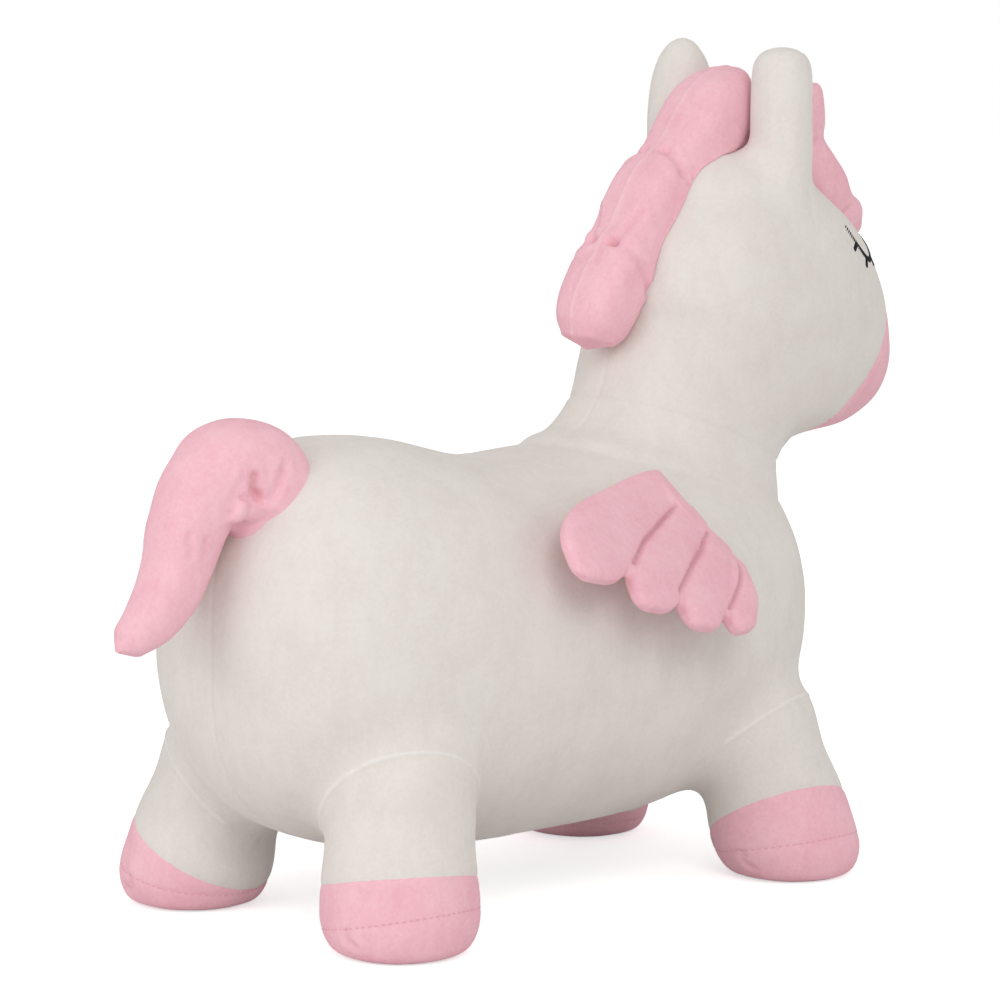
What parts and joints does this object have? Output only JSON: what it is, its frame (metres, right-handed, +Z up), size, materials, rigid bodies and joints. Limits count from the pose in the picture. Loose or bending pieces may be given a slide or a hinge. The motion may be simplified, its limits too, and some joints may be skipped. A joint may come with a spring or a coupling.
{
  "type": "bouncy ride on animal",
  "caption": "Plush-covered inflatable hopper shaped as a winged pony: splayed legs, upright ears, stuffed mane and tail, swinging wings and a zipped belly panel over the valve.",
  "frame": {"origin": "on the floor, under the centre of the whole toy's box", "axes": "+X towards the muzzle, +Y to the animal's left, +Z up"},
  "size_m": [0.656, 0.341, 0.55],
  "materials": {
    "white_plush": "short-pile plush, warm off-white",
    "pink_plush": "short-pile plush, light pink",
    "bladder_rubber": "smooth, slightly glossy",
    "zip_tape": "woven tape",
    "zip_plastic": "moulded",
    "valve_plastic": "moulded",
    "black_thread": "satin embroidery"
  },
  "bodies": {
    "body": {"air_bladder": "bladder_rubber", "belly_panel": "white_plush", "body_cover_left": "white_plush", "body_cover_right": "white_plush", "ear_cover_left": "white_plush", "ear_cover_right": "white_plush", "ear_lining_left": "white_plush", "ear_lining_right": "white_plush", "eye_left": "black_thread", "eye_right": "black_thread", "forelock": "pink_plush", "head_cover_left": "white_plush", "head_cover_right": "white_plush", "hoof_cover_front_left": "pink_plush", "hoof_cover_front_right": "pink_plush", "hoof_cover_hind_left": "pink_plush", "hoof_cover_hind_right": "pink_plush", "hoof_sole_front_left": "pink_plush", "hoof_sole_front_right": "pink_plush", "hoof_sole_hind_left": "pink_plush", "hoof_sole_hind_right": "pink_plush", "leg_sleeve_front_left": "white_plush", "leg_sleeve_front_right": "white_plush", "leg_sleeve_hind_left": "white_plush", "leg_sleeve_hind_right": "white_plush", "mane": "pink_plush", "muzzle_cover": "pink_plush", "tail_root": "pink_plush", "valve_seat": "valve_plastic", "wing_tape_left": "white_plush", "wing_tape_right": "white_plush", "zip_stop_front": "zip_plastic", "zip_stop_hind": "zip_plastic", "zip_tape_left": "zip_tape", "zip_tape_right": "zip_tape"},
    "tail": {"tail": "pink_plush"},
    "wing_left": {"wing_left": "pink_plush"},
    "wing_right": {"wing_right": "pink_plush"},
    "zip_slider": {"zip_slider": "zip_plastic"},
    "pull_tab": {"pull_tab": "zip_plastic"},
    "valve_plug": {"valve_plug": "valve_plastic"}
  },
  "joints": [
    {"name": "tail_lift", "type": "hinge", "parent": "body", "child": "tail", "pos_m": [-0.23596, 0, 0.29746], "axis": [0, 1, 0], "range_deg": [0, 60], "stiffness_Nm_per_rad": 0.05},
    {"name": "wing_left_flap", "type": "hinge", "parent": "body", "child": "wing_left", "pos_m": [0.0686, 0.10916, 0.24382], "axis": [0.3875, 0.5535, -0.7372], "range_deg": [0, 75], "stiffness_Nm_per_rad": 0.03},
    {"name": "wing_right_flap", "type": "hinge", "parent": "body", "child": "wing_right", "pos_m": [0.0686, -0.10916, 0.24382], "axis": [-0.3875, 0.5535, 0.7372], "range_deg": [0, 75], "stiffness_Nm_per_rad": 0.03},
    {"name": "zip_slide", "type": "slide", "parent": "body", "child": "zip_slider", "axis": [1, 0, 0], "range_m": [0, 0.147], "deforming": ["zip_tape_left", "zip_tape_right"]},
    {"name": "pull_tab_swing", "type": "hinge", "parent": "zip_slider", "child": "pull_tab", "pos_m": [-0.09445, 0, 0.04365], "axis": [0, 1, 0], "range_deg": [0, 85]},
    {"name": "plug_pull", "type": "slide", "parent": "body", "child": "valve_plug", "axis": [0, 0, -1], "range_m": [0, 0.0115]}
  ]
}
